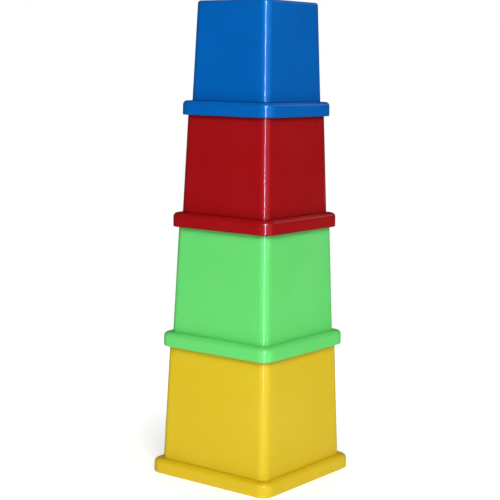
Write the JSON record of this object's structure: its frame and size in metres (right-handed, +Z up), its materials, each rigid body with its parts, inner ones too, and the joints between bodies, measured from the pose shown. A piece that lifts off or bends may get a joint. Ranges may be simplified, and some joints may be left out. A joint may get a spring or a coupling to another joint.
{
  "type": "stacking cup tower",
  "caption": "Square tapered stacking cups with stepped rims, standing mouth down in a tower from the largest up to the smallest.",
  "frame": {"origin": "on the ground under the middle of the tower, at the centre of the largest cup's mouth", "axes": "+Z up along the tower's axis; +X and +Y square to two neighbouring walls of the cups"},
  "size_m": [0.08, 0.08, 0.2568],
  "materials": {
    "yellow_plastic": "moulded yellow plastic, soft gloss",
    "green_plastic": "moulded light green plastic, soft gloss",
    "red_plastic": "moulded red plastic, gloss",
    "blue_plastic": "moulded blue plastic, gloss"
  },
  "bodies": {
    "yellow": {"yellow_cup": "yellow_plastic"},
    "green": {"green_cup": "green_plastic"},
    "red": {"red_cup": "red_plastic"},
    "blue": {"blue_cup": "blue_plastic"}
  },
  "joints": [
    {"name": "green_lift", "type": "slide", "parent": "yellow", "child": "green", "axis": [0, 0, 1], "range_m": [0, 0.06]},
    {"name": "red_lift", "type": "slide", "parent": "green", "child": "red", "axis": [0, 0, 1], "range_m": [0, 0.06]},
    {"name": "blue_lift", "type": "slide", "parent": "red", "child": "blue", "axis": [0, 0, 1], "range_m": [0, 0.06]}
  ]
}
